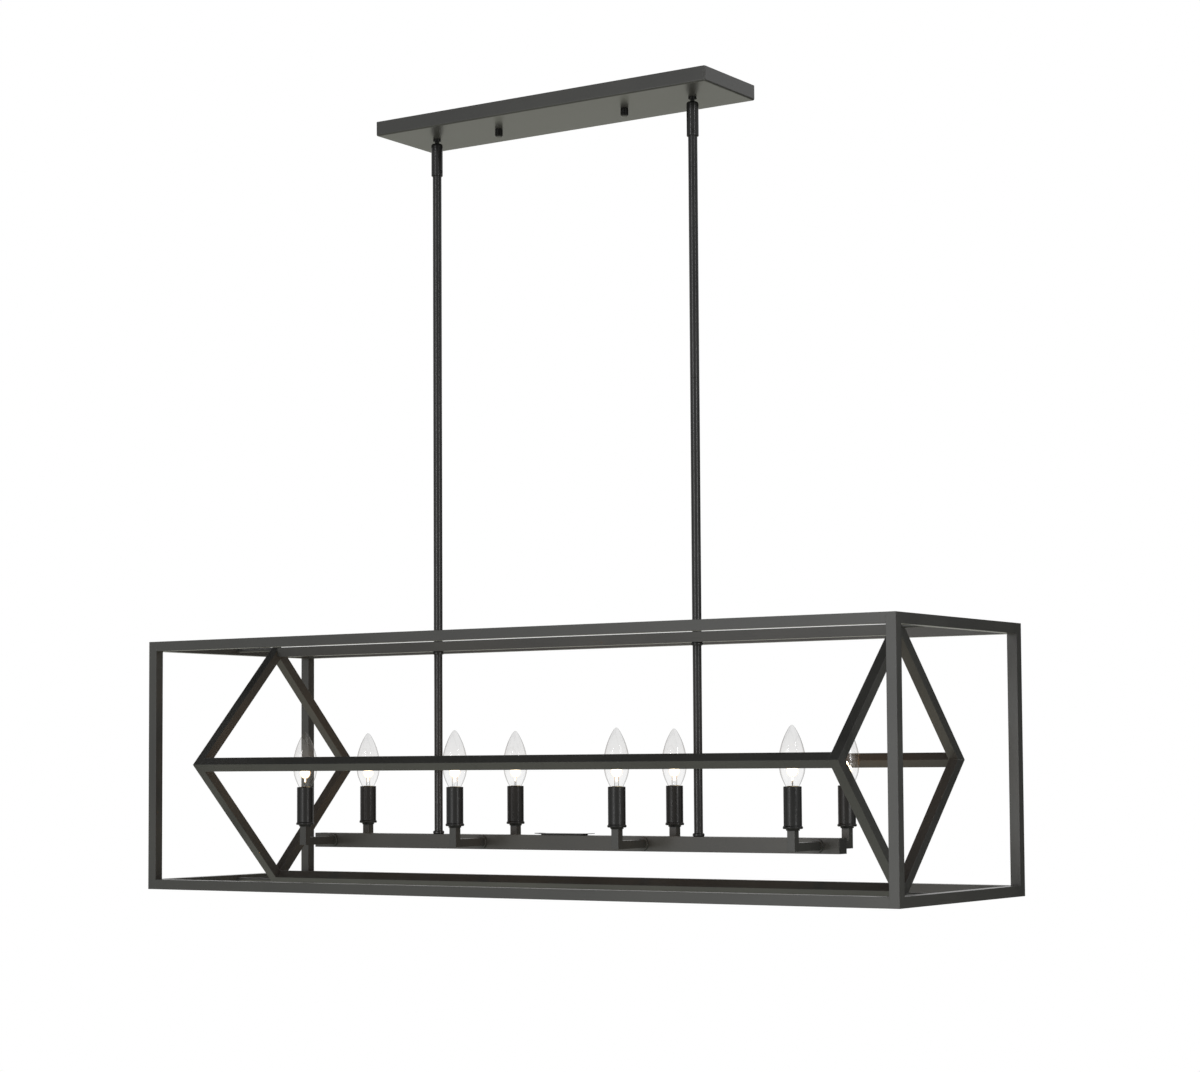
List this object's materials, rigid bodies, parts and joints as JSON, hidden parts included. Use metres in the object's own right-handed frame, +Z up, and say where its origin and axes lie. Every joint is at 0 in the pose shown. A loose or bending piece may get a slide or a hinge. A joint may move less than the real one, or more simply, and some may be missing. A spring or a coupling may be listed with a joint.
{
  "type": "linear island pendant light",
  "caption": "Linear island pendant: rectangular open cage round a diamond-ended frame and candle lamps on a bar, on two stems with ball swivels under a long canopy.",
  "frame": {"origin": "middle of the ceiling strap's top face, in the ceiling plane", "axes": "+Z up to the ceiling, X along the length of the cage, -Y is the front"},
  "size_m": [1.219, 0.359, 1.1045],
  "materials": {
    "black_paint": "satin",
    "black_gloss": "satin",
    "black_sleeve": "satin",
    "glass": "clear",
    "base_metal": "polished",
    "zinc_steel": "satin",
    "green_screw": "satin",
    "socket_plastic": "matte"
  },
  "bodies": {
    "ceiling_part": {"canopy": "black_paint", "mounting_strap": "zinc_steel", "strap_studs": "zinc_steel", "ground_terminal": "green_screw", "swivel_balls": "black_gloss", "swivel_lock_nuts": "zinc_steel"},
    "cap_nut_left": {"cap_nut_left": "black_gloss"},
    "cap_nut_right": {"cap_nut_right": "black_gloss"},
    "bulb_front_1": {"bulb_base_front_1": "base_metal", "bulb_glass_front_1": "glass"},
    "bulb_front_2": {"bulb_base_front_2": "base_metal", "bulb_glass_front_2": "glass"},
    "bulb_front_3": {"bulb_base_front_3": "base_metal", "bulb_glass_front_3": "glass"},
    "bulb_front_4": {"bulb_base_front_4": "base_metal", "bulb_glass_front_4": "glass"},
    "bulb_back_1": {"bulb_base_back_1": "base_metal", "bulb_glass_back_1": "glass"},
    "bulb_back_2": {"bulb_base_back_2": "base_metal", "bulb_glass_back_2": "glass"},
    "bulb_back_3": {"bulb_base_back_3": "base_metal", "bulb_glass_back_3": "glass"},
    "bulb_back_4": {"bulb_base_back_4": "base_metal", "bulb_glass_back_4": "glass"},
    "fixture": {"cage_end_left": "black_paint", "cage_end_right": "black_paint", "cage_rail_top_front": "black_paint", "cage_rail_top_back": "black_paint", "cage_rail_bottom_front": "black_paint", "cage_rail_bottom_back": "black_paint", "diamond_left": "black_paint", "diamond_right": "black_paint", "prism_rail_front": "black_paint", "prism_rail_back": "black_paint", "prism_rail_bottom": "black_paint", "prism_rail_top": "black_paint", "spacer_pins": "black_paint", "light_bar": "black_paint", "light_bar_caps": "black_paint", "splice_cover": "black_paint", "arms_front": "black_paint", "arms_back": "black_paint", "arm_collars": "black_paint", "lamp_cups": "black_paint", "stem_upper_left": "black_gloss", "stem_upper_right": "black_gloss", "stem_middle_left": "black_gloss", "stem_middle_right": "black_gloss", "stem_inner_left": "black_gloss", "stem_inner_right": "black_gloss", "stem_rings": "black_gloss", "swivel_sleeve_left": "black_gloss", "swivel_sleeve_right": "black_gloss", "swivel_set_screws": "black_gloss", "candle_sleeves": "black_sleeve", "lamp_sockets": "socket_plastic", "stem_nipples": "zinc_steel", "bar_lock_nuts": "zinc_steel"}
  },
  "joints": [
    {"name": "swing", "type": "hinge", "parent": "ceiling_part", "child": "fixture", "pos_m": [0, 0, -0.033], "axis": [1, 0, 0], "range_deg": [-20, 20]},
    {"name": "cap_nut_left_unscrew", "type": "slide", "parent": "ceiling_part", "child": "cap_nut_left", "axis": [0, 0, -1], "range_m": [0, 0.012]},
    {"name": "cap_nut_right_unscrew", "type": "slide", "parent": "ceiling_part", "child": "cap_nut_right", "axis": [0, 0, -1], "range_m": [0, 0.012]},
    {"name": "bulb_front_1_unscrew", "type": "slide", "parent": "fixture", "child": "bulb_front_1", "axis": [0, 0, 1], "range_m": [0, 0.025]},
    {"name": "bulb_front_2_unscrew", "type": "slide", "parent": "fixture", "child": "bulb_front_2", "axis": [0, 0, 1], "range_m": [0, 0.025]},
    {"name": "bulb_front_3_unscrew", "type": "slide", "parent": "fixture", "child": "bulb_front_3", "axis": [0, 0, 1], "range_m": [0, 0.025]},
    {"name": "bulb_front_4_unscrew", "type": "slide", "parent": "fixture", "child": "bulb_front_4", "axis": [0, 0, 1], "range_m": [0, 0.025]},
    {"name": "bulb_back_1_unscrew", "type": "slide", "parent": "fixture", "child": "bulb_back_1", "axis": [0, 0, 1], "range_m": [0, 0.025]},
    {"name": "bulb_back_2_unscrew", "type": "slide", "parent": "fixture", "child": "bulb_back_2", "axis": [0, 0, 1], "range_m": [0, 0.025]},
    {"name": "bulb_back_3_unscrew", "type": "slide", "parent": "fixture", "child": "bulb_back_3", "axis": [0, 0, 1], "range_m": [0, 0.025]},
    {"name": "bulb_back_4_unscrew", "type": "slide", "parent": "fixture", "child": "bulb_back_4", "axis": [0, 0, 1], "range_m": [0, 0.025]}
  ]
}
